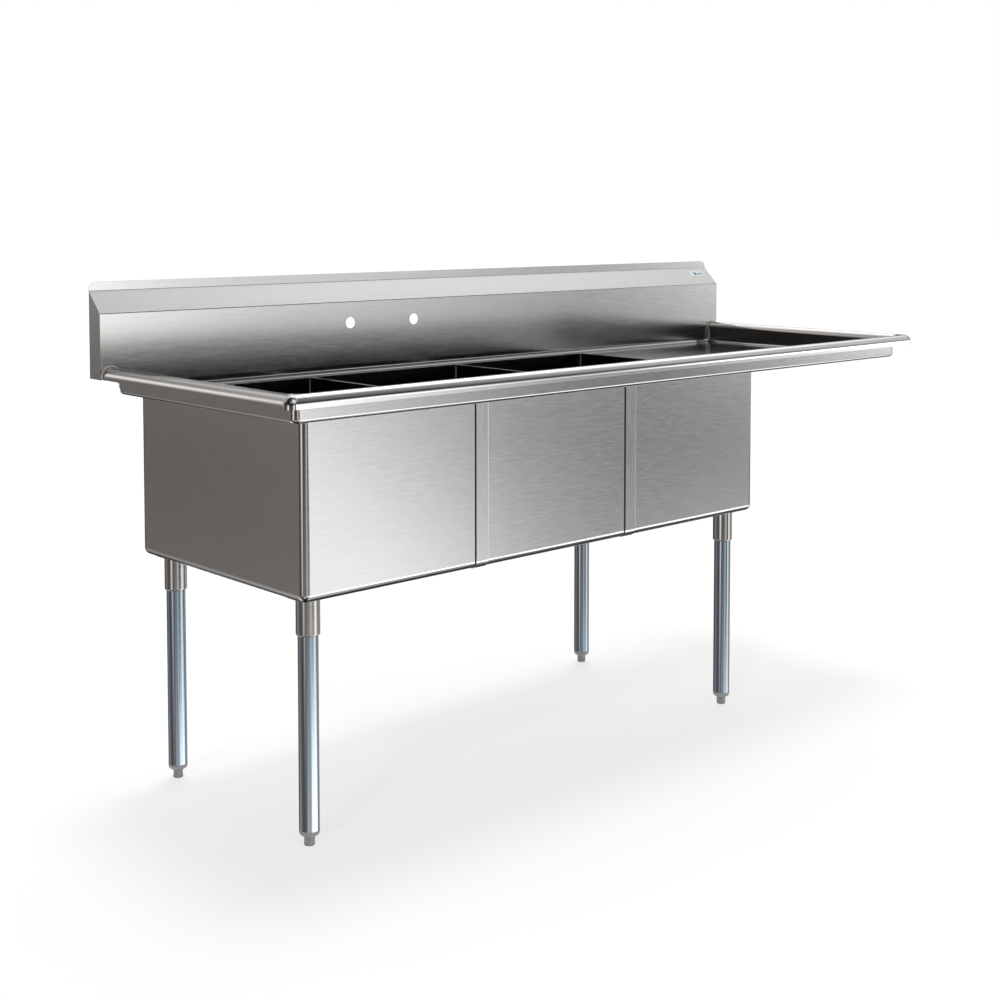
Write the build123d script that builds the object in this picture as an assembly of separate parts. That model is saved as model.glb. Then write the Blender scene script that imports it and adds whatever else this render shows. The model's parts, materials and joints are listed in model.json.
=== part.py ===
from build123d import *

import os
from math import cos, pi, radians, sin

# Three compartment commercial sink with a right-hand drainboard, as separate sheet metal and fitting parts.
# Millimetres. X runs along the sink to the right, Y towards the wall, +Z up.
# The origin is on the floor, under the centre of the sink's overall box.

# ---- driving dimensions ------------------------------------------------------------------
SHEET = 1.2  # 18 gauge stainless steel
BOWL_COUNT = 3
BOWL_INSIDE_X = 457.2  # 18 in
BOWL_INSIDE_Y = 609.6  # 24 in
BOWL_INSIDE_DEPTH = 358.0  # 14 in nominal, from the deck to the bowl floor
BOWL_GAP = 7.1  # between neighbouring bowls' outer faces
BOWL_BEND = 16.0  # outer radius of a bowl's coved edges
FLOOR_FALL = 5.0  # how far a bowl floor creases down towards its drain

DECK_TOP = 861.6
RIM_TOP = 920.7
RIM_RADIUS = 19.05  # 1 1/2 in rolled rim
RIM_LIP = 7.5  # straight part of the roll below its centre line
PAN_BEND = 8.0  # outer radius at the foot of the pan's walls
PAN_CORNER = 15.0  # outer radius of the pan's vertical corners
LEFT_MARGIN = 43.5  # bowl's outer face to the pan's wall, outside
FRONT_MARGIN = 36.0
DRAINBOARD = 582.5  # last bowl's outer face to the pan's right wall, outside

SPLASH_FACE = 630.0  # from the bowls' front outer face
SPLASH_DEPTH = 49.4
SPLASH_FOOT = 894.0  # lower edge of the end caps
SPLASH_BEND = 1038.8  # where the face breaks back at 45 degrees
SPLASH_TOP = 1107.6
SPLASH_FOLD = 1.6  # inside radius of the splash's two folds
SPLASH_OVERHANG = 5.0  # the splash runs past the rolled rim at each end
TILE_CORNER = 17.0  # rounded ends of the tile edge
COVE = 12.0  # deck to splash
COVE_TOP = 884.0  # where the pan's upturn meets the splash panel
FAUCET_SPACING = 203.2  # 8 in centres
FAUCET_RADIUS = 14.3  # 1 1/8 in holes
FAUCET_Z = 986.7

LEG_RADIUS = 20.65  # 1 5/8 in tube
LEG_WALL = 1.5
LEG_INSET_X = 50.4  # from the bowls' outer faces
LEG_INSET_Y = 56.3
LEG_FOOT = 32.0  # lower end of the tube
SOCKET_RADIUS = 24.3
SOCKET_HEIGHT = 77.0
SOCKET_PLATE = 66.0
SOCKET_PLATE_THICK = 3.0

FOOT_RADIUS = 11.0
FOOT_HEIGHT = 20.0  # exposed length when screwed right in
STUD_RADIUS = 6.0
STUD_TOP = 70.0

DRAIN_FLANGE_RADIUS = 57.0  # 4 1/2 in flange of a 3 1/2 in sink drain
DRAIN_CUP_RADIUS = 42.5
DRAIN_HOLE_RADIUS = 44.5
DRAIN_DEPTH = 58.0
DRAIN_WALL = 2.0
DRAIN_SEAT = 21.0  # the basket's lip rests on a step this far below the flange
BASKET_RADIUS = 35.5
BASKET_LIP = 39.5
BASKET_DEPTH = 25.0
BASKET_WALL = 1.2
OUTLET_RADIUS = 23.5  # outside of the 1 1/2 in tailpiece thread
OUTLET_LENGTH = 20.0

# ---- places worked out from them ---------------------------------------------------------
BOWL_X = BOWL_INSIDE_X + 2 * SHEET
BOWL_Y = BOWL_INSIDE_Y + 2 * SHEET
BOWL_PITCH = BOWL_X + BOWL_GAP
BOWLS_X = BOWL_COUNT * BOWL_X + (BOWL_COUNT - 1) * BOWL_GAP

RIM_OUT = 2 * RIM_RADIUS - SHEET  # wall's outer face to the roll's outermost face
SPLASH_LENGTH = LEFT_MARGIN + BOWLS_X + DRAINBOARD + 2 * (RIM_OUT + SPLASH_OVERHANG)
OVERALL_Y = FRONT_MARGIN + RIM_OUT + SPLASH_FACE + SPLASH_DEPTH

SPLASH_LEFT = -SPLASH_LENGTH / 2
SPLASH_RIGHT = SPLASH_LENGTH / 2
WALL_LEFT = SPLASH_LEFT + SPLASH_OVERHANG + RIM_OUT  # outer faces of the pan's walls
WALL_RIGHT = SPLASH_RIGHT - SPLASH_OVERHANG - RIM_OUT
WALL_FRONT = -OVERALL_Y / 2 + RIM_OUT
BOWLS_LEFT = WALL_LEFT + LEFT_MARGIN
BOWLS_RIGHT = BOWLS_LEFT + BOWLS_X
BOWLS_FRONT = WALL_FRONT + FRONT_MARGIN
BOWLS_BACK = BOWLS_FRONT + BOWL_Y
FACE_Y = BOWLS_FRONT + SPLASH_FACE  # front face of the splash
WALL_Y = FACE_Y + SPLASH_DEPTH  # back of the tile edge, against the wall

DECK_UNDER = DECK_TOP - SHEET
BOWL_FLOOR = DECK_TOP - BOWL_INSIDE_DEPTH
BOWL_UNDER = BOWL_FLOOR - SHEET
RIM_Z = RIM_TOP - RIM_RADIUS  # height of the roll's centre line
AXIS_LEFT = WALL_LEFT + SHEET - RIM_RADIUS  # centre lines of the rolls
AXIS_RIGHT = WALL_RIGHT - SHEET + RIM_RADIUS
AXIS_FRONT = WALL_FRONT + SHEET - RIM_RADIUS

SIDES = ("left", "centre", "right")
BOWL_CENTRES = [BOWLS_LEFT + BOWL_X / 2 + i * BOWL_PITCH for i in range(BOWL_COUNT)]
BOWL_CENTRE_Y = (BOWLS_FRONT + BOWLS_BACK) / 2
DRAIN_RECESS = 2.4  # the drain flange sits this far below the creased floor
FLOOR_LOW = BOWL_FLOOR - FLOOR_FALL
LEGS = {
    "front_left": (BOWLS_LEFT + LEG_INSET_X, BOWLS_FRONT + LEG_INSET_Y),
    "front_right": (BOWLS_RIGHT - LEG_INSET_X, BOWLS_FRONT + LEG_INSET_Y),
    "rear_left": (BOWLS_LEFT + LEG_INSET_X, BOWLS_BACK - LEG_INSET_Y),
    "rear_right": (BOWLS_RIGHT - LEG_INSET_X, BOWLS_BACK - LEG_INSET_Y),
}


# ---- helpers -----------------------------------------------------------------------------
def block(x0, x1, y0, y1, z0, z1):
    """A box between two corners."""
    return Pos((x0 + x1) / 2, (y0 + y1) / 2, (z0 + z1) / 2) * Box(x1 - x0, y1 - y0, z1 - z0)


def rod(x, y, z0, z1, radius):
    """An upright cylinder."""
    return Pos(x, y, (z0 + z1) / 2) * Cylinder(radius, z1 - z0)


def turned(points, x, y):
    """A solid of revolution about the upright line through (x, y), from (radius, height) points."""
    outline = make_face(Polyline(*[(r, 0, z) for r, z in points], close=True))
    return Pos(x, y, 0) * revolve(outline, Axis.Z)


def upright_edges(shape):
    return shape.edges().filter_by(Axis.Z)


def bottom_edges(shape):
    return shape.faces().sort_by(Axis.Z)[0].edges()


def save(name, shape):
    export_step(shape, f"parts/{name}.step")


# ---- bowls -------------------------------------------------------------------------------
def bowl_block(x, inset, bend):
    """The space of a bowl, drawn in by inset, with coved upright and lower edges."""
    body = block(
        x - BOWL_X / 2 + inset,
        x + BOWL_X / 2 - inset,
        BOWLS_FRONT + inset,
        BOWLS_BACK - inset,
        BOWL_UNDER + inset,
        DECK_UNDER,
    )
    body = fillet(upright_edges(body), bend)
    return fillet(bottom_edges(body), bend)


def crease_block(x, top, drop):
    """The four creased facets of a bowl floor, from a wide rectangle down to the drain's flat."""
    flat = 2 * DRAIN_FLANGE_RADIUS + 12
    rim_margin = 90.0  # leaves the floor level over the leg sockets
    wide = Pos(x, BOWL_CENTRE_Y, top) * Rectangle(BOWL_X - 2 * rim_margin, BOWL_Y - 2 * rim_margin)
    narrow = Pos(x, BOWL_CENTRE_Y, top - drop) * Rectangle(flat, flat)
    return loft(Sketch() + [wide, narrow])


def bowl(x):
    outer = bowl_block(x, 0, BOWL_BEND) + crease_block(x, BOWL_UNDER + SHEET / 2, FLOOR_FALL + SHEET / 2)
    inner = bowl_block(x, SHEET, BOWL_BEND - SHEET)
    inner = inner + block(
        x - BOWL_INSIDE_X / 4,
        x + BOWL_INSIDE_X / 4,
        BOWL_CENTRE_Y - BOWL_INSIDE_Y / 4,
        BOWL_CENTRE_Y + BOWL_INSIDE_Y / 4,
        BOWL_FLOOR,
        BOWL_FLOOR + SHEET,
    )
    inner = inner + crease_block(x, BOWL_FLOOR + SHEET / 2, FLOOR_FALL + SHEET / 2)
    recess_top = FLOOR_LOW
    recess = rod(x, BOWL_CENTRE_Y, recess_top - DRAIN_RECESS, recess_top + SHEET, DRAIN_FLANGE_RADIUS + 1.5)
    pad = rod(x, BOWL_CENTRE_Y, recess_top - DRAIN_RECESS - SHEET, recess_top, DRAIN_FLANGE_RADIUS + 2.7)
    hole = rod(x, BOWL_CENTRE_Y, BOWL_UNDER - 30, BOWL_FLOOR + 5, DRAIN_HOLE_RADIUS)
    return outer + pad - inner - recess - hole


def joint_strap(x):
    """The band that covers the gap between two bowls, down the front, underneath and up the back."""
    width, thick = 34.0, 1.5
    bend = BOWL_BEND + thick
    low = BOWL_UNDER - thick
    outer = block(x - width / 2, x + width / 2, BOWLS_FRONT - thick, BOWLS_BACK + thick, low, DECK_UNDER)
    outer = fillet(bottom_edges(outer).filter_by(Axis.X), bend)
    inner = block(x - width, x + width, BOWLS_FRONT, BOWLS_BACK, BOWL_UNDER, DECK_UNDER + 1)
    inner = fillet(bottom_edges(inner).filter_by(Axis.X), BOWL_BEND)
    return outer - inner


# ---- deck pan and rolled rim -------------------------------------------------------------
def tray_block(inset, top):
    """The space inside the pan's walls, drawn in by inset from their outer faces."""
    tray = block(
        WALL_LEFT + inset,
        WALL_RIGHT - inset,
        WALL_FRONT + inset,
        FACE_Y + SHEET - inset,
        DECK_UNDER + inset,
        top,
    )
    tray = fillet(upright_edges(tray).group_by(Axis.Y)[0], PAN_CORNER - inset)
    lower = bottom_edges(tray)
    back = lower.filter_by(Axis.X).sort_by(Axis.Y)[-1]
    tray = fillet([e for e in lower if e.center().Y < back.center().Y - 1], PAN_BEND - inset)
    back = bottom_edges(tray).filter_by(Axis.X).sort_by(Axis.Y)[-1]
    return fillet(back, COVE + SHEET - inset)


def deck_pan():
    """The top: deck, drainboard and three low walls in one sheet, turned up in a cove at the back."""
    pan = tray_block(0, RIM_Z) - tray_block(SHEET, RIM_Z + 1)
    pan -= block(WALL_LEFT - 1, WALL_RIGHT + 1, FACE_Y, FACE_Y + 5, COVE_TOP, RIM_Z + 1)
    for x in BOWL_CENTRES:
        opening = block(
            x - BOWL_INSIDE_X / 2,
            x + BOWL_INSIDE_X / 2,
            BOWLS_FRONT + SHEET,
            BOWLS_BACK - SHEET,
            DECK_UNDER - 5,
            DECK_TOP + 5,
        )
        pan -= fillet(upright_edges(opening), BOWL_BEND - SHEET)
    return pan


def rim_plan(outer_inset, inner_inset):
    """The rim seen from above: three sides of a frame, each edge drawn towards the middle."""
    out_x = AXIS_RIGHT - AXIS_LEFT + 2 * (RIM_RADIUS - outer_inset)
    in_x = WALL_RIGHT - WALL_LEFT - 2 * (SHEET - inner_inset)
    middle_x = (AXIS_LEFT + AXIS_RIGHT) / 2
    front_out = AXIS_FRONT - RIM_RADIUS + outer_inset
    front_in = WALL_FRONT + SHEET - inner_inset
    behind = 60.0
    out_y = FACE_Y + behind - front_out
    in_y = FACE_Y + 2 * behind - front_in
    outside = Pos(middle_x, front_out + out_y / 2) * RectangleRounded(out_x, out_y, RIM_RADIUS - outer_inset)
    corner = PAN_CORNER - SHEET + inner_inset
    inside = Pos(middle_x, front_in + in_y / 2) * RectangleRounded(in_x, in_y, corner)
    frame = outside - inside
    return frame - Pos(middle_x, FACE_Y + behind) * Rectangle(out_x + 2, 2 * behind)


def rim_beam(inset, foot):
    """The rim as a solid half-round beam, drawn in by inset, standing on the level foot."""
    top = RIM_TOP - inset
    beam = Pos(0, 0, foot) * extrude(rim_plan(inset, inset), top - foot)
    crown = beam.faces().sort_by(Axis.Z)[-1].edges()
    crown = [e for e in crown if e.center().Y < FACE_Y - 0.5]
    return fillet(crown, RIM_RADIUS - inset - 0.02)


def rolled_rim():
    """The rim in five welded pieces, by node name."""
    foot = RIM_Z - RIM_LIP
    shell = rim_beam(0, foot) - rim_beam(SHEET, foot - 1)
    # the roll starts on top of the pan's wall, so only its outer side has a lip
    inner_side = Pos(0, 0, foot - 1) * extrude(rim_plan(2 * SHEET, 0), RIM_LIP + 1)
    shell -= inner_side
    reach = 3 * RIM_RADIUS
    left, right, front = AXIS_LEFT, AXIS_RIGHT, AXIS_FRONT
    plans = {
        "rim_front": [
            (left, front - reach),
            (right, front - reach),
            (right, front),
            (right - reach, front + reach),
            (left + reach, front + reach),
            (left, front),
        ],
        "rim_left": [
            (left - reach, front),
            (left, front),
            (left + reach, front + reach),
            (left + reach, FACE_Y),
            (left - reach, FACE_Y),
        ],
        "rim_right": [
            (right + reach, front),
            (right, front),
            (right - reach, front + reach),
            (right - reach, FACE_Y),
            (right + reach, FACE_Y),
        ],
        "rim_corner_left": [
            (left - reach, front - reach),
            (left, front - reach),
            (left, front),
            (left - reach, front),
        ],
        "rim_corner_right": [
            (right, front - reach),
            (right + reach, front - reach),
            (right + reach, front),
            (right, front),
        ],
    }
    pieces = {}
    for name, corners in plans.items():
        region = extrude(make_face(Polyline(*corners, close=True)), RIM_TOP - foot + 4)
        pieces[name] = shell & (Pos(0, 0, foot - 2) * region)
    return pieces


# ---- splash ------------------------------------------------------------------------------
def splash_profile(offset):
    """The splash sheet's front line, moved back by offset, as (y, z) points from the foot up."""
    bend = offset * (2**0.5 - 1)
    front = FACE_Y + offset
    back = WALL_Y - SHEET + offset
    run = SPLASH_DEPTH - SHEET
    return [
        (front, COVE_TOP),
        (front, SPLASH_BEND + bend),
        (back, SPLASH_BEND + run + bend),
        (back, SPLASH_TOP),
    ]


def splash_panel():
    """The splash face, its 45 degree return and the tile edge, with the two faucet holes."""
    outline = splash_profile(0) + splash_profile(SHEET)[::-1]
    face = make_face(Polyline(*[(0, y, z) for y, z in outline], close=True))
    panel = Pos(SPLASH_LEFT, 0, 0) * extrude(face, SPLASH_LENGTH, dir=(1, 0, 0))
    tops = [e for e in panel.edges().filter_by(Axis.Y) if e.center().Z > SPLASH_TOP - 1]
    panel = fillet(tops, TILE_CORNER)
    upper_bend = SPLASH_BEND + SPLASH_DEPTH - SHEET
    for height, front_radius, back_radius in (
        (SPLASH_BEND, SPLASH_FOLD + SHEET, SPLASH_FOLD),
        (upper_bend, SPLASH_FOLD, SPLASH_FOLD + SHEET),
    ):
        fold = [e for e in panel.edges().filter_by(Axis.X) if abs(e.center().Z - height) < 1]
        front, back = sorted(fold, key=lambda e: e.center().Y)
        panel = fillet(front, front_radius)
        back = min(panel.edges().filter_by(Axis.X), key=lambda e: (e.center() - back.center()).length)
        panel = fillet(back, back_radius)
    for x0, x1 in ((SPLASH_LEFT - 1, WALL_LEFT), (WALL_RIGHT, SPLASH_RIGHT + 1)):
        panel -= block(x0, x1, FACE_Y - 1, FACE_Y + 2 * SHEET, COVE_TOP - 1, SPLASH_FOOT)
    for side in (-1, 1):
        x = BOWL_CENTRES[1] + side * FAUCET_SPACING / 2
        panel -= Pos(x, FACE_Y, FAUCET_Z) * Rot(90, 0, 0) * Cylinder(FAUCET_RADIUS, 4 * SHEET)
    return panel


def splash_cap(x0, x1):
    """The end plate that closes the splash, between its front sheet and the wall."""
    back = WALL_Y - SHEET
    corners = [
        (FACE_Y + SHEET, SPLASH_FOOT),
        (back, SPLASH_FOOT),
        (back, SPLASH_BEND + SPLASH_DEPTH - 2.2 * SHEET),
        (FACE_Y + SHEET, SPLASH_BEND - 0.6 * SHEET),
    ]
    face = make_face(Polyline(*[(0, y, z) for y, z in corners], close=True))
    plate = Pos(x0, 0, 0) * extrude(face, x1 - x0, dir=(1, 0, 0))
    flange_in = 18.0 if x0 < 0 else -18.0
    left, right = min(x0, x0 + flange_in), max(x1, x1 + flange_in)
    flange = block(left, right, back - SHEET, back, SPLASH_FOOT, SPLASH_BEND)
    return plate + flange


# ---- legs and feet -----------------------------------------------------------------------
def leg_socket(x, y):
    """The welded socket: a plate under the bowl and a sleeve that takes the leg."""
    top = BOWL_UNDER
    plate = block(
        x - SOCKET_PLATE / 2,
        x + SOCKET_PLATE / 2,
        y - SOCKET_PLATE / 2,
        y + SOCKET_PLATE / 2,
        top - SOCKET_PLATE_THICK,
        top,
    )
    plate = chamfer(upright_edges(plate), 8)
    sleeve = rod(x, y, top - SOCKET_HEIGHT, top - SOCKET_PLATE_THICK, SOCKET_RADIUS)
    sleeve = fillet(bottom_edges(sleeve), 2.6)
    bore = rod(x, y, top - SOCKET_HEIGHT - 1, top - SOCKET_PLATE_THICK, LEG_RADIUS + 0.1)
    screw_z = top - SOCKET_HEIGHT / 2
    screw_hole = Pos(x, y + SOCKET_RADIUS, screw_z) * Rot(90, 0, 0) * Cylinder(3.0, 12)
    return plate + (sleeve - bore - screw_hole)


def set_screws():
    """One set screw in the rear of each socket, as a group."""
    z = BOWL_UNDER - SOCKET_HEIGHT / 2
    screws = []
    for x, y in LEGS.values():
        outer = y + SOCKET_RADIUS + 1.0
        inner = y + LEG_RADIUS
        body = Pos(x, (outer + inner) / 2, z) * Rot(90, 0, 0) * Cylinder(2.95, outer - inner)
        key = Pos(x, outer, z) * Rot(90, 0, 0) * extrude(RegularPolygon(1.6, 6), 2, both=True)
        screws.append(body - key)
    return Compound(children=screws)


def leg(x, y):
    top = BOWL_UNDER - SOCKET_PLATE_THICK
    return rod(x, y, LEG_FOOT, top, LEG_RADIUS) - rod(x, y, LEG_FOOT - 1, top + 1, LEG_RADIUS - LEG_WALL)


def foot_insert(x, y):
    """The plug pressed into the tube's end, with a rounded cap and the foot's thread."""
    cap = rod(x, y, FOOT_HEIGHT, LEG_FOOT, LEG_RADIUS)
    cap = fillet(bottom_edges(cap), 8.0)
    plug = rod(x, y, LEG_FOOT, LEG_FOOT + 28, LEG_RADIUS - LEG_WALL)
    thread = rod(x, y, FOOT_HEIGHT - 1, LEG_FOOT + 29, STUD_RADIUS + 0.08)
    return cap + plug - thread


def foot(x, y):
    """The adjustable foot: a blunt bullet with spanner flats, on its threaded stud."""
    flats_low, flats_high = 4.0, FOOT_HEIGHT - 3
    bullet = chamfer(bottom_edges(rod(x, y, 0, FOOT_HEIGHT, FOOT_RADIUS)), 1.2)
    hexagon = RegularPolygon(FOOT_RADIUS - 0.8, 6, major_radius=False)
    spanner_part = Pos(x, y, flats_low) * extrude(hexagon, flats_high - flats_low)
    ring = rod(x, y, flats_low, flats_high, FOOT_RADIUS + 1)
    bullet = bullet - (ring - spanner_part)
    return bullet + rod(x, y, FOOT_HEIGHT, STUD_TOP, STUD_RADIUS)


# ---- drains ------------------------------------------------------------------------------
FLANGE_TOP = FLOOR_LOW - DRAIN_RECESS + DRAIN_WALL
OUTLET_FOOT = FLANGE_TOP - DRAIN_DEPTH - OUTLET_LENGTH


def drain_body(x):
    """The drain cup with its flange, the step that carries the basket, and its threaded outlet."""
    cup_foot = FLANGE_TOP - DRAIN_DEPTH
    bore = OUTLET_RADIUS - 4.5
    lower = BASKET_RADIUS + 1
    points = [
        (DRAIN_FLANGE_RADIUS, FLANGE_TOP),
        (DRAIN_FLANGE_RADIUS, FLANGE_TOP - DRAIN_WALL),
        (DRAIN_CUP_RADIUS, FLANGE_TOP - DRAIN_WALL),
        (DRAIN_CUP_RADIUS, FLANGE_TOP - DRAIN_SEAT - DRAIN_WALL),
        (lower + DRAIN_WALL, FLANGE_TOP - DRAIN_SEAT - 2 * DRAIN_WALL),
        (lower + DRAIN_WALL, cup_foot + 8),
        (OUTLET_RADIUS, cup_foot),
        (OUTLET_RADIUS, OUTLET_FOOT),
        (bore, OUTLET_FOOT),
        (bore, cup_foot + DRAIN_WALL),
        (lower, cup_foot + 8 + DRAIN_WALL),
        (lower, FLANGE_TOP - DRAIN_SEAT),
        (DRAIN_CUP_RADIUS - DRAIN_WALL, FLANGE_TOP - DRAIN_SEAT),
        (DRAIN_CUP_RADIUS - DRAIN_WALL, FLANGE_TOP - 1.2 * DRAIN_WALL),
        (DRAIN_CUP_RADIUS + 0.5, FLANGE_TOP),
    ]
    return turned(points, x, BOWL_CENTRE_Y)


def drain_gasket(x):
    top = FLOOR_LOW - DRAIN_RECESS - SHEET
    inner, outer = DRAIN_CUP_RADIUS + 0.1, DRAIN_FLANGE_RADIUS
    return rod(x, BOWL_CENTRE_Y, top - 3, top, outer) - rod(x, BOWL_CENTRE_Y, top - 4, top + 1, inner)


def drain_locknut(x):
    """The ribbed nut that draws the drain cup down onto the bowl."""
    top = FLOOR_LOW - DRAIN_RECESS - SHEET - 3
    nut = rod(x, BOWL_CENTRE_Y, top - 12, top, DRAIN_FLANGE_RADIUS - 4)
    lug_count = 8
    for i in range(lug_count):
        angle = 360 / lug_count * i
        lug = Box(9, 8, 12)
        nut += Pos(x, BOWL_CENTRE_Y, top - 6) * Rot(0, 0, angle) * Pos(DRAIN_FLANGE_RADIUS - 3, 0, 0) * lug
    return nut - rod(x, BOWL_CENTRE_Y, top - 13, top + 1, DRAIN_CUP_RADIUS + 0.1)


BASKET_SEAT = FLANGE_TOP - DRAIN_SEAT
BASKET_LOW = BASKET_SEAT - BASKET_DEPTH


def basket(x):
    """The lift-out crumb basket: a pierced cup hung by its lip, with a pull post."""
    low, seat, wall = BASKET_LOW, BASKET_SEAT, BASKET_WALL
    cup = [
        (0, low),
        (BASKET_RADIUS - 10, low),
        (BASKET_RADIUS - 2, low + 7),
        (BASKET_RADIUS, seat),
        (BASKET_LIP, seat),
        (BASKET_LIP, seat + wall),
        (BASKET_RADIUS - wall, seat + wall),
        (BASKET_RADIUS - 2 - wall, low + 7 + wall / 2),
        (BASKET_RADIUS - 10 - wall / 2, low + wall),
        (0, low + wall),
    ]
    post = [
        (0, low + wall / 2),
        (3, low + wall / 2),
        (3, seat + 2),
        (8, seat + 5),
        (9, seat + 8),
        (7, seat + 11),
        (0, seat + 12),
    ]
    holes = []
    for ring_radius, count in ((14.0, 8), (21.5, 14)):
        for i in range(count):
            angle = 2 * pi * i / count
            hole_x = x + ring_radius * cos(angle)
            hole_y = BOWL_CENTRE_Y + ring_radius * sin(angle)
            holes.append(rod(hole_x, hole_y, low - 1, low + 3, 2.2))
    slot_count = 16
    for i in range(slot_count):
        place = Pos(x, BOWL_CENTRE_Y, low + 15) * Rot(0, 0, 360 / slot_count * i)
        holes.append(place * Pos(BASKET_RADIUS - 1.5, 0, 0) * Box(7, 3.2, 10))
    return turned(cup, x, BOWL_CENTRE_Y) - holes + turned(post, x, BOWL_CENTRE_Y)


def basket_stopper(x):
    """The rubber seal under the basket."""
    top = BASKET_LOW
    points = [(0, top), (10.5, top), (16, top - 3), (15, top - 5), (6, top - 7), (0, top - 7)]
    return turned(points, x, BOWL_CENTRE_Y)


# ---- drainboard underside ----------------------------------------------------------------
def drainboard_channel(y):
    """A hat channel welded under the drainboard."""
    x0, x1 = BOWLS_RIGHT + 30, WALL_RIGHT - 20
    depth, crown, brim = 16.0, 44.0, 16.0
    top = DECK_UNDER
    hat = block(x0, x1, y - crown / 2, y + crown / 2, top - depth, top)
    hat -= block(x0 - 1, x1 + 1, y - crown / 2 + SHEET, y + crown / 2 - SHEET, top - depth + SHEET, top + 1)
    for side in (-1, 1):
        y0, y1 = sorted((y + side * (crown / 2 - SHEET), y + side * (crown / 2 + brim)))
        hat += block(x0, x1, y0, y1, top - SHEET, top)
    return hat


def label():
    """A small blank sticker on the splash's sloping return."""
    slope = radians(45)
    from_end, up_slope = 59.5, 45.0
    centre = Vector(
        SPLASH_RIGHT - from_end,
        FACE_Y + up_slope * cos(slope),
        SPLASH_BEND + up_slope * sin(slope),
    )
    lift = 0.11
    sticker = Box(64, 22, 0.2)
    return Pos(centre.X, centre.Y - lift * sin(slope), centre.Z + lift * cos(slope)) * Rot(45, 0, 0) * sticker


def main():
    os.makedirs("parts", exist_ok=True)
    save("deck_pan", deck_pan())
    for name, piece in rolled_rim().items():
        save(name, piece)
    save("splash_panel", splash_panel())
    save("splash_cap_left", splash_cap(SPLASH_LEFT, SPLASH_LEFT + SHEET))
    save("splash_cap_right", splash_cap(SPLASH_RIGHT - SHEET, SPLASH_RIGHT))
    save("label", label())
    for side, x in zip(SIDES, BOWL_CENTRES):
        save(f"bowl_{side}", bowl(x))
        save(f"drain_body_{side}", drain_body(x))
        save(f"drain_gasket_{side}", drain_gasket(x))
        save(f"drain_locknut_{side}", drain_locknut(x))
        save(f"basket_{side}", basket(x))
        save(f"basket_stopper_{side}", basket_stopper(x))
    for number, x in enumerate(BOWL_CENTRES[:-1], start=1):
        save(f"joint_strap_{number}", joint_strap(x + BOWL_PITCH / 2))
    for place, (x, y) in LEGS.items():
        save(f"leg_socket_{place}", leg_socket(x, y))
        save(f"leg_{place}", leg(x, y))
        save(f"foot_insert_{place}", foot_insert(x, y))
        save(f"foot_{place}", foot(x, y))
    save("socket_set_screws", set_screws())
    save("drainboard_channel_front", drainboard_channel(BOWL_CENTRE_Y - BOWL_Y / 4))
    save("drainboard_channel_rear", drainboard_channel(BOWL_CENTRE_Y + BOWL_Y / 4))


main()
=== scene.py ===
"""Looks for the three compartment sink: materials, weld details, floor, light and camera. Metres."""

import json
import math

import bmesh
import bpy
from mathutils import Euler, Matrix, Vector


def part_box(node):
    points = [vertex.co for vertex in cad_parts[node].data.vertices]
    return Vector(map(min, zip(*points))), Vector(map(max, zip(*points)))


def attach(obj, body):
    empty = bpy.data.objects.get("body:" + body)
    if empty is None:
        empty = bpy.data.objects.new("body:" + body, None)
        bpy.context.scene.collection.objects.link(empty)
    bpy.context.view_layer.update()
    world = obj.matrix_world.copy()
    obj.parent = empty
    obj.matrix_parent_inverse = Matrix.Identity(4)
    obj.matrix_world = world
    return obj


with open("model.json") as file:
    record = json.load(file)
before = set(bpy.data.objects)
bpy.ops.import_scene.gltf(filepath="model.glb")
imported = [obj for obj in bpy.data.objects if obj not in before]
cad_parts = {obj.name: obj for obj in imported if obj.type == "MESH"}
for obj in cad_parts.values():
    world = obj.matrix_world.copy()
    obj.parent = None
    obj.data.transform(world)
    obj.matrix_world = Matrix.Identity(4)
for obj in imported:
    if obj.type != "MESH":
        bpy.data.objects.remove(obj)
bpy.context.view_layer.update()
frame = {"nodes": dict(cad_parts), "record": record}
nodes = frame["nodes"]

# ---- camera --------------------------------------------------------------------------------
CAMERA_PLACE = (-2.6572, -2.6868, 1.2591)
CAMERA_PITCH = 3.288  # degrees below the horizon
CAMERA_YAW = -42.803
CAMERA_LENS = 54.85
CAMERA_SHIFT = -0.2
SENSOR_WIDTH = 36.0

# ---- material helpers ----------------------------------------------------------------------


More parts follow.
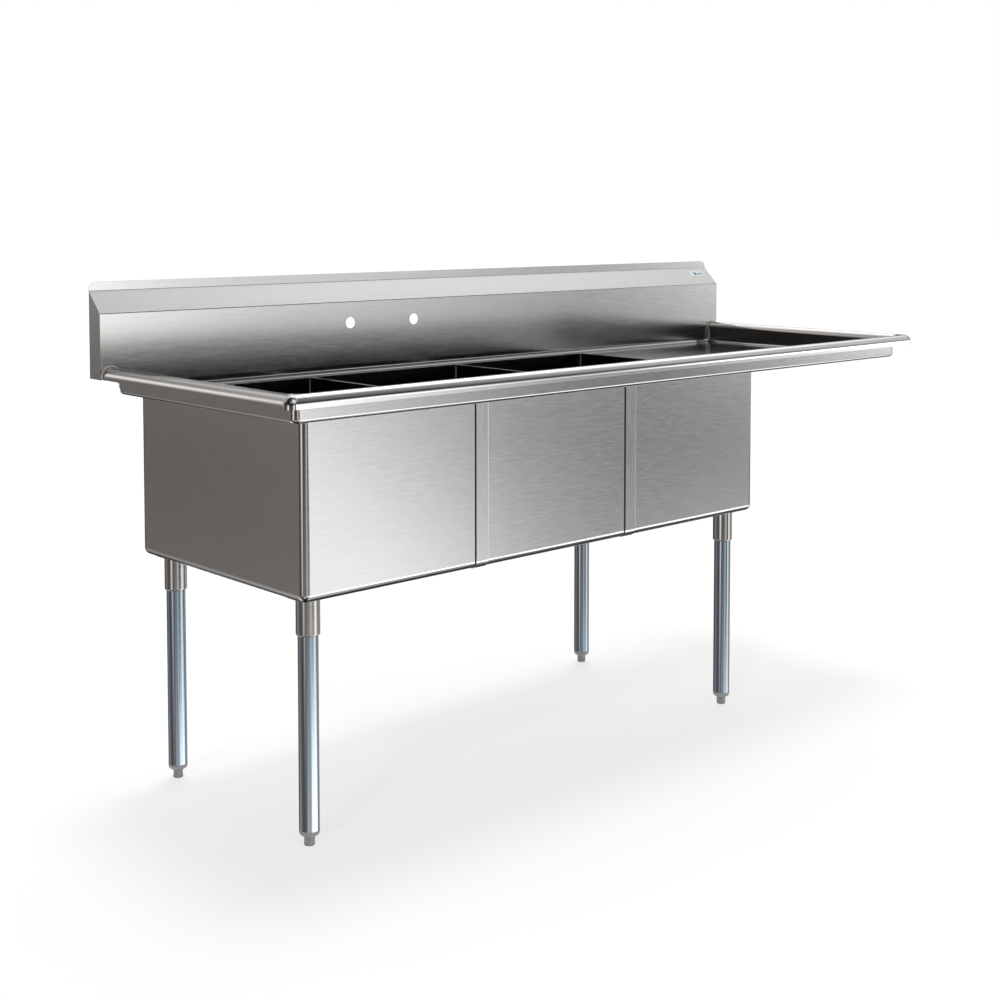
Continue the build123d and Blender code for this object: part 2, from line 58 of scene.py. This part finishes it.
class Graph:
    """A material's node tree, built call by call."""

    def __init__(self, name):
        self.material = bpy.data.materials.new(name)
        self.material.use_nodes = True
        self.tree = self.material.node_tree
        self.shader = self.tree.nodes["Principled BSDF"]
        self.coords = self.tree.nodes.new("ShaderNodeTexCoord").outputs["Object"]

    def link(self, out, into):
        self.tree.links.new(out, into)

    def node(self, kind, **settings):
        made = self.tree.nodes.new(kind)
        for key, value in settings.items():
            setattr(made, key, value)
        return made

    def noise(self, scale, detail=3.0, rough=0.55):
        """Noise over object space, stretched by the three scales (cycles per metre)."""
        stretch = self.node("ShaderNodeMapping")
        stretch.inputs["Scale"].default_value = scale
        self.link(self.coords, stretch.inputs["Vector"])
        noise = self.node("ShaderNodeTexNoise")
        noise.inputs["Scale"].default_value = 1.0
        noise.inputs["Detail"].default_value = detail
        noise.inputs["Roughness"].default_value = rough
        self.link(stretch.outputs["Vector"], noise.inputs["Vector"])
        return noise.outputs["Fac"]

    def ramp(self, value, low, high, out_low, out_high):
        """Maps value from low..high to out_low..out_high, held at the ends."""
        spread = self.node("ShaderNodeMapRange")
        for key, number in (("From Min", low), ("From Max", high), ("To Min", out_low), ("To Max", out_high)):
            spread.inputs[key].default_value = number
        self.link(value, spread.inputs["Value"])
        return spread.outputs["Result"]

    def blend(self, share, first, second):
        """first where share is 0, second where it is 1."""
        mix = self.node("ShaderNodeMix", data_type="FLOAT")
        self.link(share, mix.inputs["Factor"])
        self.link(first, mix.inputs["A"])
        self.link(second, mix.inputs["B"])
        return mix.outputs["Result"]

    def colour(self, share, first, second):
        mix = self.node("ShaderNodeMix", data_type="RGBA")
        self.link(share, mix.inputs["Factor"])
        mix.inputs["A"].default_value = (*first, 1)
        mix.inputs["B"].default_value = (*second, 1)
        return mix.outputs["Result"]

    def over(self, share, under, top):
        """The colour top laid over the colour output under, where share is 1."""
        mix = self.node("ShaderNodeMix", data_type="RGBA")
        self.link(share, mix.inputs["Factor"])
        self.link(under, mix.inputs["A"])
        mix.inputs["B"].default_value = (*top, 1)
        return mix.outputs["Result"]

    def place(self, axis, first, last):
        """How far along an axis a point lies: 0 at first, 1 at last."""
        split = self.node("ShaderNodeSeparateXYZ")
        self.link(self.coords, split.inputs["Vector"])
        return self.ramp(split.outputs[axis], first, last, 0.0, 1.0)

    def inside(self, across, left, right, upward, low, high, soft=0.02):
        """1 within a rectangle of two shares, 0 outside it."""
        sides = (
            self.ramp(across, left - soft, left, 0.0, 1.0),
            self.ramp(across, right, right + soft, 1.0, 0.0),
            self.ramp(upward, low - soft, low, 0.0, 1.0),
            self.ramp(upward, high, high + soft, 1.0, 0.0),
        )
        total = sides[0]
        for side in sides[1:]:
            both = self.node("ShaderNodeMath", operation="MULTIPLY")
            self.link(total, both.inputs[0])
            self.link(side, both.inputs[1])
            total = both.outputs["Value"]
        return total

    def brushing(self, level, across, along, upright_grain):
        """Brush strokes: along X on level sheet, and level or upright ones on upright sheet."""
        run = (across, across, along) if upright_grain else (along, along, across)
        on_upright = self.noise(run, 4.0, 0.6)
        on_level = self.noise((along, across, along), 4.0, 0.6)
        return self.blend(level, on_upright, on_level)

    def scaled(self, colour, share):
        """colour x share"""
        product = self.node("ShaderNodeVectorMath", operation="SCALE")
        self.link(colour, product.inputs[0])
        self.link(share, product.inputs["Scale"])
        return product.outputs["Vector"]

    def add(self, first, second, weight):
        """first + weight x second"""
        both = self.node("ShaderNodeMath", operation="MULTIPLY_ADD")
        self.link(second, both.inputs[0])
        both.inputs[1].default_value = weight
        self.link(first, both.inputs[2])
        return both.outputs["Value"]

    def bump(self, height, depth):
        made = self.node("ShaderNodeBump")
        made.inputs["Strength"].default_value = 1.0
        made.inputs["Distance"].default_value = depth
        self.link(height, made.inputs["Height"])
        self.link(made.outputs["Normal"], self.shader.inputs["Normal"])

    def outwardness(self, centre):
        """Positive on surfaces that face away from a point, negative on those that face it."""
        offset = self.node("ShaderNodeVectorMath", operation="SUBTRACT")
        self.link(self.coords, offset.inputs[0])
        offset.inputs[1].default_value = centre
        facing = self.node("ShaderNodeVectorMath", operation="DOT_PRODUCT")
        self.link(offset.outputs["Vector"], facing.inputs[0])
        self.link(self.node("ShaderNodeNewGeometry").outputs["True Normal"], facing.inputs[1])
        return facing.outputs["Value"]

    def facing_axis(self, axis):
        """How squarely a surface faces along an axis: 1 along it, -1 against it."""
        split = self.node("ShaderNodeSeparateXYZ")
        self.link(self.node("ShaderNodeNewGeometry").outputs["True Normal"], split.inputs["Vector"])
        return split.outputs[axis]

    def level_share(self):
        """1 on surfaces that face up or down, 0 on upright ones."""
        size = self.node("ShaderNodeMath", operation="ABSOLUTE")
        self.link(self.facing_axis("Z"), size.inputs[0])
        return self.ramp(size.outputs["Value"], 0.6, 0.8, 0.0, 1.0)


GRAIN = 520.0  # brush lines per metre across the grain
GRAIN_RUN = 32.0  # and along it
STREAK = 320.0  # the coarser strokes that show from a few metres off
STREAK_RUN = 28.0
GRAIN_CONTRAST = 0.08
# painted shade: this share darkens the inside of a bowl
BOWL_INSIDE_PAINTED_SHADE = 0.42  # the inside of a bowl against its outside


def brushed(
    name, tint, roughness, depth=0.00001, upright_grain=False, level_painted_shade=1.0, front_painted_light=1.0, painted_shade_centre=None
):
    """Satin stainless: brush lines run level on upright sheet and along the sink on flat sheet.

    The last three arguments paint light and shade into the colour: the first darkens level sheet, as painted
    shade; the second lightens sheet that faces the front, as painted light; the third is the middle of a
    bowl, whose inside is painted darker than its outside, as painted shade.
    """
    g = Graph(name)
    level = g.level_share()
    grain = g.brushing(level, GRAIN, GRAIN_RUN, upright_grain)
    streak = g.brushing(level, STREAK, STREAK_RUN, upright_grain)
    cloud = g.noise((3.1, 3.3, 2.7), 2.0)
    shade = g.add(g.ramp(grain, 0.3, 0.7, -0.2, 0.3), streak, 0.9)
    dark = tuple(c * (1 - GRAIN_CONTRAST) for c in tint)
    light = tuple(c * (1 + GRAIN_CONTRAST) for c in tint)
    colour = g.colour(shade, dark, light)
    # painted shade: level sheet is darkened
    if level_painted_shade < 1.0:
        colour = g.scaled(colour, g.ramp(level, 0.0, 1.0, 1.0, level_painted_shade))
    # painted light: sheet that faces the front is lightened
    if front_painted_light > 1.0:
        colour = g.scaled(colour, g.ramp(g.facing_axis("Y"), -0.9, -0.7, front_painted_light, 1.0))
    # painted shade: the inside of a bowl is darkened
    if painted_shade_centre:
        colour = g.scaled(colour, g.ramp(g.outwardness(painted_shade_centre), -0.001, 0.001, BOWL_INSIDE_PAINTED_SHADE, 1.0))
    g.link(colour, g.shader.inputs["Base Color"])
    rough = g.ramp(grain, 0.25, 0.75, roughness - 0.03, roughness + 0.03)
    g.link(g.add(rough, cloud, 0.025), g.shader.inputs["Roughness"])
    g.shader.inputs["Metallic"].default_value = 1.0
    g.bump(grain, depth)
    return g.material


def galvanised(name):
    """Smooth zinc on tube: faint bluish spangle and lengthwise drawing marks."""
    g = Graph(name)
    cells = g.node("ShaderNodeTexVoronoi", feature="F1")
    cells.inputs["Scale"].default_value = 190.0
    g.link(g.coords, cells.inputs["Vector"])
    split = g.node("ShaderNodeSeparateColor")
    g.link(cells.outputs["Color"], split.inputs["Color"])
    spangle = split.outputs["Red"]
    drawn = g.noise((420.0, 420.0, 1.5))
    shade = g.add(g.ramp(drawn, 0.3, 0.7, 0.0, 0.6), spangle, 0.4)
    g.link(g.colour(shade, (0.50, 0.60, 0.685), (0.515, 0.615, 0.70)), g.shader.inputs["Base Color"])
    g.link(g.add(g.ramp(drawn, 0.3, 0.7, 0.125, 0.135), spangle, 0.01), g.shader.inputs["Roughness"])
    g.shader.inputs["Metallic"].default_value = 1.0
    g.bump(drawn, 0.0000002)
    return g.material


def polished(name, tint, roughness):
    """Turned and polished drain metal, with fine water marks."""
    g = Graph(name)
    marks = g.noise((140.0, 140.0, 140.0), 4.0)
    g.link(g.colour(marks, tuple(c * 0.93 for c in tint), tint), g.shader.inputs["Base Color"])
    g.link(g.ramp(marks, 0.3, 0.7, roughness - 0.04, roughness + 0.06), g.shader.inputs["Roughness"])
    g.shader.inputs["Metallic"].default_value = 1.0
    g.bump(marks, 0.00001)
    return g.material


def moulded(name, tint, roughness, metallic=0.0):
    """Moulded plastic or rubber with a fine dull skin."""
    g = Graph(name)
    skin = g.noise((900.0, 900.0, 900.0), 3.0)
    cloud = g.noise((60.0, 60.0, 60.0), 2.0)
    g.link(g.colour(cloud, tuple(c * 0.85 for c in tint), tint), g.shader.inputs["Base Color"])
    g.link(g.ramp(skin, 0.3, 0.7, roughness - 0.06, roughness + 0.06), g.shader.inputs["Roughness"])
    g.shader.inputs["Metallic"].default_value = metallic
    g.bump(skin, 0.00003)
    return g.material


def printed_film(name):
    """A pale film label with two blank printed patches, one blue and one grey."""
    g = Graph(name)
    low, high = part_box("label")
    along = g.place("X", low[0], high[0])
    up = g.place("Z", low[2], high[2])
    paper, blue, grey = (0.84, 0.89, 0.93), (0.10, 0.22, 0.36), (0.30, 0.33, 0.36)
    blue_patch = g.inside(along, 0.30, 0.46, up, 0.2, 0.7)
    grey_patch = g.inside(along, 0.56, 0.9, up, 0.3, 0.55)
    colour = g.colour(blue_patch, paper, blue)
    colour = g.over(grey_patch, colour, grey)
    g.link(colour, g.shader.inputs["Base Color"])
    skin = g.noise((900.0, 900.0, 900.0))
    g.link(g.ramp(skin, 0.3, 0.7, 0.25, 0.4), g.shader.inputs["Roughness"])
    g.bump(skin, 0.00002)
    return g.material


def weld_bead(name):
    """A ground weld: steel with ripples and straw heat tint, in greys lighter than the sheet's, which are
    partly painted highlight so that the bead shows bright.
    """
    g = Graph(name)
    ripples = g.noise((420.0, 420.0, 420.0), 2.0)
    heat = g.noise((35.0, 35.0, 35.0), 2.0)
    # the light greys are partly painted highlight
    g.link(g.colour(heat, (0.76, 0.74, 0.72), (0.88, 0.87, 0.86)), g.shader.inputs["Base Color"])
    g.link(g.ramp(ripples, 0.3, 0.7, 0.4, 0.55), g.shader.inputs["Roughness"])
    g.shader.inputs["Metallic"].default_value = 0.55
    g.bump(ripples, 0.0002)
    return g.material


STEEL = (0.604, 0.598, 0.588)
LOOKS = {
    # painted shade: the deck's level sheet is darkened
    "deck_stainless": brushed("deck_stainless", STEEL, 0.12, depth=0.000005, level_painted_shade=0.6),
    # painted light: the rim's sheet that faces the front is lightened
    "rim_stainless": brushed("rim_stainless", STEEL, 0.11, depth=0.000004, front_painted_light=1.65),
    "splash_stainless": brushed("splash_stainless", STEEL, 0.17, depth=0.000002),
    "bowl_stainless": brushed("bowl_stainless", STEEL, 0.16, depth=0.000006),
    "strap_stainless": brushed("strap_stainless", STEEL, 0.17, upright_grain=True),
    "socket_stainless": brushed("socket_stainless", (0.66, 0.65, 0.635), 0.12, depth=0.000002),
    "channel_stainless": brushed("channel_stainless", (0.5, 0.5, 0.5), 0.35),
    "basket_stainless": polished("basket_stainless", (0.6, 0.6, 0.59), 0.22),
    "drain_metal": polished("drain_metal", (0.66, 0.66, 0.65), 0.16),
    "rubber_black": moulded("rubber_black", (0.03, 0.03, 0.03), 0.6),
    "leg_galvanised": galvanised("leg_galvanised"),
    "foot_insert_plastic": moulded("foot_insert_plastic", (0.4, 0.41, 0.42), 0.42),
    "foot_plastic": moulded("foot_plastic", (0.36, 0.36, 0.37), 0.4),
    "screw_steel": polished("screw_steel", (0.3, 0.3, 0.3), 0.35),
    "label_film": printed_film("label_film"),
}
for part in frame["record"]["subparts"]:
    for slot in nodes[part["node"]].material_slots:
        slot.material = LOOKS[part["material_slot"]]
# painted shade: each bowl gets its own look, whose inside is darkened
for side in ("left", "centre", "right"):
    middle = (Vector(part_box(f"bowl_{side}")[0]) + Vector(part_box(f"bowl_{side}")[1])) / 2
    inside_shaded_look = brushed(f"bowl_stainless_{side}", STEEL, 0.16, depth=0.000006, painted_shade_centre=middle)
    for slot in nodes[f"bowl_{side}"].material_slots:
        slot.material = inside_shaded_look

# ---- weld beads, dark lines and edges ------------------------------------------------------

UP = Vector((0, 0, 1))
RIGHTWARD = Vector((1, 0, 0))
WALLWARD = Vector((0, 1, 0))
WELD = weld_bead("weld_bead")
SPLASH_BEAD = 0.002  # the beads' radii
ROLL_BEAD = 0.0011
SOCKET_BEAD = 0.0015
BOWL_BEAD = 0.0009
DARK_LINE_BEAD = 0.0015
BEAD_SIDES = 10
RIPPLE_EVERY = 3  # every third ring is a little thinner
RIPPLE = 0.9
BEAD_TIP = 0.35  # the end rings' size against the rest
SHEET = 0.0012
BOWL_CORNER = 0.0148  # inside radius of a bowl's upright corners
SLEEVE_RADIUS = 0.0243  # of a leg socket
SOCKET_PLATE = 0.0038
STRAP_EDGE = 0.0009


def bead(name, path, radius, look=None):
    """A rippled bead, of weld metal if no look is given: a closed tube along path, tapering at both ends."""
    shape = bmesh.new()
    rings = []
    for i, point in enumerate(path):
        before, after = path[max(i - 1, 0)], path[min(i + 1, len(path) - 1)]
        along = (after - before).normalized()
        side = along.orthogonal() if i == 0 else (side - along * side.dot(along))
        side = side.normalized()
        other = along.cross(side)
        from_end = min(i, len(path) - 1 - i)
        taper = min(1.0, BEAD_TIP + (1 - BEAD_TIP) * from_end / 2)
        size = radius * taper * (RIPPLE if i % RIPPLE_EVERY == 0 else 1.0)
        turns = [2 * math.pi * k / BEAD_SIDES for k in range(BEAD_SIDES)]
        spokes = [side * (size * math.cos(t)) + other * (size * math.sin(t)) for t in turns]
        rings.append([shape.verts.new(point + spoke) for spoke in spokes])
    for low, high in zip(rings, rings[1:]):
        for k in range(BEAD_SIDES):
            following = (k + 1) % BEAD_SIDES
            shape.faces.new((low[k], low[following], high[following], high[k]))
    shape.faces.new(rings[0][::-1])
    shape.faces.new(rings[-1])
    bmesh.ops.recalc_face_normals(shape, faces=shape.faces)
    for face in shape.faces:
        face.smooth = True
    mesh = bpy.data.meshes.new(name)
    shape.to_mesh(mesh)
    shape.free()
    piece = bpy.data.objects.new(name, mesh)
    bpy.context.scene.collection.objects.link(piece)
    mesh.materials.append(look or WELD)
    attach(piece, "sink")


def arc(centre, toward_start, toward_side, radius, first, last, step=0.0022):
    """Points on an arc about centre, from first to last degrees between two directions."""
    count = max(6, round(math.radians(abs(last - first)) * radius / step))
    turns = [math.radians(first + (last - first) * i / count) for i in range(count + 1)]
    spokes = [toward_start * (radius * math.cos(t)) + toward_side * (radius * math.sin(t)) for t in turns]
    return [centre + spoke for spoke in spokes]


def line(start, end, steps):
    """Points from start to end, both included."""
    return [start.lerp(end, i / steps) for i in range(steps + 1)]


def rim_welds():
    """Beads round the rolls, where they meet the splash and the corner pieces."""
    low, high = (Vector(corner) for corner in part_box("rim_corner_left"))
    roll = high.x - low.x  # the corner piece is a quarter of the roll, one radius wide
    height = high.z - roll
    face_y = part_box("rim_left")[1][1]
    deck_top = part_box("joint_strap_1")[1][2]
    front_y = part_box("rim_corner_left")[1][1]
    for side, sign in (("left", -1), ("right", 1)):
        inner = 0 if side == "right" else 1
        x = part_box(f"rim_corner_{side}")[inner][0]
        inward = RIGHTWARD * -sign
        # round the roll against the splash's face, from just above the deck
        over_roll = arc(Vector((x, face_y - SHEET, height)), inward, UP, roll + 0.0022, 0, 200)
        foot = Vector((over_roll[0].x, over_roll[0].y, deck_top + 0.012))
        bead(f"splash_weld_{side}", line(foot, over_roll[0], 12)[:-1] + over_roll, SPLASH_BEAD)
        # and round both ends of the corner piece
        corner = Vector((x, front_y, height))
        bead(f"side_roll_weld_{side}", arc(corner, inward, UP, roll, 15, 190), ROLL_BEAD)
        bead(f"front_roll_weld_{side}", arc(corner, WALLWARD, UP, roll, 15, 158), ROLL_BEAD)


def socket_welds():
    """A fillet bead round each leg socket, under its plate."""
    for place in ("front_left", "front_right", "rear_left", "rear_right"):
        low, high = (Vector(corner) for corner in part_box(f"leg_socket_{place}"))
        centre = Vector(((low.x + high.x) / 2, (low.y + high.y) / 2, high.z - SOCKET_PLATE))
        ring = arc(centre, RIGHTWARD, WALLWARD, SLEEVE_RADIUS + 0.0008, 0, 358)
        bead(f"socket_weld_{place}", ring, SOCKET_BEAD)


def bowl_welds():
    """A fine ground seam down each upright corner inside the bowls."""
    inset = SHEET + BOWL_CORNER * (1 - math.sqrt(0.5)) + 0.0002
    for side in ("left", "centre", "right"):
        low, high = (Vector(corner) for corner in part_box(f"bowl_{side}"))
        across, along = (low.x + inset, high.x - inset), (low.y + inset, high.y - inset)
        corners = [(x, y) for x in across for y in along]
        for number, (x, y) in enumerate(corners, start=1):
            foot, top = Vector((x, y, low.z + 0.06)), Vector((x, y, high.z - 0.001))
            bead(f"bowl_weld_{side}_{number}", line(foot, top, 40), BOWL_BEAD)


def joint_dark_line():
    """A dark bead, in the black rubber look, down the left edge of each joint strap."""
    for number in (1, 2):
        low, high = (Vector(corner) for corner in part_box(f"joint_strap_{number}"))
        y = low.y + 0.0007
        path = line(Vector((low.x, y, low.z + 0.012)), Vector((low.x, y, high.z - 0.001)), 60)
        bead(f"joint_dark_line_{number}", path, DARK_LINE_BEAD, look=LOOKS["rubber_black"])


def soft_edges(node, width):
    """Breaks a sheet's sharp edges, so that they catch the light."""
    bevel = nodes[node].modifiers.new("soft edges", "BEVEL")
    bevel.width = width
    bevel.segments = 2
    bevel.limit_method = "ANGLE"
    bevel.angle_limit = math.radians(50)


rim_welds()
socket_welds()
bowl_welds()
joint_dark_line()
for number in (1, 2):
    soft_edges(f"joint_strap_{number}", STRAP_EDGE)

# ---- floor, light and camera ---------------------------------------------------------------


def stage_floor():
    """A pale floor that glows towards white, takes the shadow and isn't mirrored in the steel."""
    mesh = bpy.data.meshes.new("floor")
    reach = FLOOR_REACH
    corners = [(-reach, -reach, 0), (reach, -reach, 0), (reach, reach, 0), (-reach, reach, 0)]
    mesh.from_pydata(corners, [], [(0, 1, 2, 3)])
    floor = bpy.data.objects.new("floor", mesh)
    bpy.context.scene.collection.objects.link(floor)
    paint = bpy.data.materials.new("floor")
    paint.use_nodes = True
    tree = paint.node_tree
    tree.nodes.clear()
    diffuse = tree.nodes.new("ShaderNodeBsdfDiffuse")
    diffuse.inputs["Color"].default_value = FLOOR_TINT
    glow = tree.nodes.new("ShaderNodeEmission")
    glow.inputs["Strength"].default_value = FLOOR_GLOW
    both = tree.nodes.new("ShaderNodeAddShader")
    clear = tree.nodes.new("ShaderNodeBsdfTransparent")
    path = tree.nodes.new("ShaderNodeLightPath")
    mirrored = tree.nodes.new("ShaderNodeMixShader")
    out = tree.nodes.new("ShaderNodeOutputMaterial")
    tree.links.new(diffuse.outputs[0], both.inputs[0])
    tree.links.new(glow.outputs[0], both.inputs[1])
    tree.links.new(path.outputs["Is Glossy Ray"], mirrored.inputs[0])
    tree.links.new(both.outputs[0], mirrored.inputs[1])
    tree.links.new(clear.outputs[0], mirrored.inputs[2])
    tree.links.new(mirrored.outputs[0], out.inputs["Surface"])
    paint.cycles.emission_sampling = "NONE"
    mesh.materials.append(paint)


def toward(azimuth, elevation):
    """The direction at an azimuth (0 is the sink's front, 90 its drainboard end) and an elevation."""
    a, e = math.radians(azimuth), math.radians(elevation)
    return (math.sin(a) * math.cos(e), -math.cos(a) * math.cos(e), math.sin(e))


def world_maths(tree, operation, *values):
    """A maths node on outputs and numbers."""
    made = tree.nodes.new("ShaderNodeMath")
    made.operation = operation
    for value, socket in zip(values, made.inputs):
        if isinstance(value, (int, float)):
            socket.default_value = value
        else:
            tree.links.new(value, socket)
    return made.outputs[0]


def studio(soft_boxes):
    """Dark surroundings with soft boxes, as the steel mirrors them; the camera itself sees white."""
    world = bpy.data.worlds.new("studio")
    bpy.context.scene.world = world
    world.use_nodes = True
    tree = world.node_tree
    tree.nodes.clear()
    facing = tree.nodes.new("ShaderNodeTexCoord").outputs["Generated"]
    ambient = tree.nodes.new("ShaderNodeValue")
    ambient.outputs[0].default_value = AMBIENT
    total = ambient.outputs[0]
    for azimuth, elevation, tightness, strength in soft_boxes:
        dot = tree.nodes.new("ShaderNodeVectorMath")
        dot.operation = "DOT_PRODUCT"
        dot.inputs[1].default_value = toward(azimuth, elevation)
        tree.links.new(facing, dot.inputs[0])
        ahead = world_maths(tree, "MAXIMUM", dot.outputs["Value"], 0.0)
        lobe = world_maths(tree, "POWER", ahead, tightness)
        total = world_maths(tree, "MULTIPLY_ADD", lobe, strength, total)
    light = tree.nodes.new("ShaderNodeBackground")
    split = tree.nodes.new("ShaderNodeSeparateXYZ")
    tree.links.new(facing, split.inputs["Vector"])
    rightward = tree.nodes.new("ShaderNodeMapRange")
    rightward.inputs["From Min"].default_value = WARM_BELOW_X
    rightward.inputs["From Max"].default_value = 0.0
    tree.links.new(split.outputs["X"], rightward.inputs["Value"])
    tone = tree.nodes.new("ShaderNodeMix")
    tone.data_type = "RGBA"
    tone.inputs["A"].default_value = WARM
    tone.inputs["B"].default_value = WHITE
    tree.links.new(rightward.outputs["Result"], tone.inputs["Factor"])
    tree.links.new(tone.outputs["Result"], light.inputs["Color"])
    tree.links.new(total, light.inputs["Strength"])
    seen = tree.nodes.new("ShaderNodeBackground")
    seen.inputs["Color"].default_value = WHITE
    path = tree.nodes.new("ShaderNodeLightPath")
    choose = tree.nodes.new("ShaderNodeMixShader")
    out = tree.nodes.new("ShaderNodeOutputWorld")
    tree.links.new(path.outputs["Is Camera Ray"], choose.inputs[0])
    tree.links.new(light.outputs[0], choose.inputs[1])
    tree.links.new(seen.outputs[0], choose.inputs[2])
    tree.links.new(choose.outputs[0], out.inputs["Surface"])


def sun(name, azimuth, elevation, strength, softness):
    """A sun as wide as softness, in degrees."""
    lamp = bpy.data.lights.new(name, "SUN")
    lamp.energy = strength
    lamp.angle = math.radians(softness)
    holder = bpy.data.objects.new(name, lamp)
    holder.rotation_euler = Vector(toward(azimuth, elevation)).to_track_quat("Z", "Y").to_euler()
    holder.visible_glossy = False
    bpy.context.scene.collection.objects.link(holder)


def camera():
    data = bpy.data.cameras.new("camera")
    data.lens = CAMERA_LENS
    data.sensor_width = SENSOR_WIDTH
    data.shift_y = CAMERA_SHIFT
    data.clip_start, data.clip_end = 0.05, 200.0
    holder = bpy.data.objects.new("camera", data)
    holder.location = CAMERA_PLACE
    holder.rotation_euler = Euler((math.radians(90 - CAMERA_PITCH), 0, math.radians(CAMERA_YAW)))
    bpy.context.scene.collection.objects.link(holder)
    bpy.context.scene.camera = holder


FLOOR_REACH = 60.0
FLOOR_TINT = (0.3, 0.3, 0.3, 1)
FLOOR_GLOW = 0.72
AMBIENT = 0.012
WHITE = (1, 1, 1, 1)
WARM = (1.0, 0.92, 0.89, 1)  # the light from the left end
WARM_BELOW_X = -0.7
# Each soft box: azimuth and elevation in degrees, tightness, strength.
SOFT_BOXES = [
    (120, 48, 14, 3.3),  # overhead, from the drainboard end round to the wall
    (0, 48, 14, 1.1),
    (180, 48, 14, 1.1),
    (22, 2, 200, 2.8),  # a bright band at the horizon, in front
    (38, 2, 200, 1.25),
    (42, -3, 200, 0.35),
    (54, 2, 200, 2.0),
    (62, 2, 200, 3.5),
    (62, -3, 200, 0.7),
    (22, -3, 200, 1.1),
    (30, -8, 200, 1.7),  # the panel that the bowls' fronts mirror
    (38, -14, 200, 1.4),
    (54, -14, 200, 0.8),
    *((azimuth, -24, 200, 2.9) for azimuth in range(4, 70, 12)),  # low panels that the legs mirror
    (40, -48, 30, 1.1),  # the ground in front, which the bowls' lower bends mirror
    (96, -24, 30, 0.35),
    (-12, -24, 40, 0.7),
    (-34, -24, 40, 0.3),
    (-100, -20, 6, 0.1),
    (72, 28, 25, 0.55),  # between the horizon and the overhead light, for the rolled rim
    (-142, 24, 40, 0.42),
    (-75, -6, 80, 1.7),
    (-135, -6, 80, 0.28),  # what the left end mirrors
    (-156, -20, 40, 0.23),
    (-150, 8, 80, 1.3),
    (-140, -45, 20, 1.4),
    (-47, -31, 40, 0.8),  # for looks from the other sides
    (-48, 34, 40, 0.2),
    (135, -24, 24, 0.55),
    (-135, 32, 20, 0.4),
    (92, -3, 40, 0.8),
    (-8, -4, 80, 0.9),
]
stage_floor()
studio(SOFT_BOXES)
# Two suns cast the floor's shadow and don't show in the steel.
sun("top", 125, 77, 1.35, 18)
sun("side", -62, 40, 0.45, 8)
camera()
bpy.context.scene.view_settings.view_transform = "Standard"
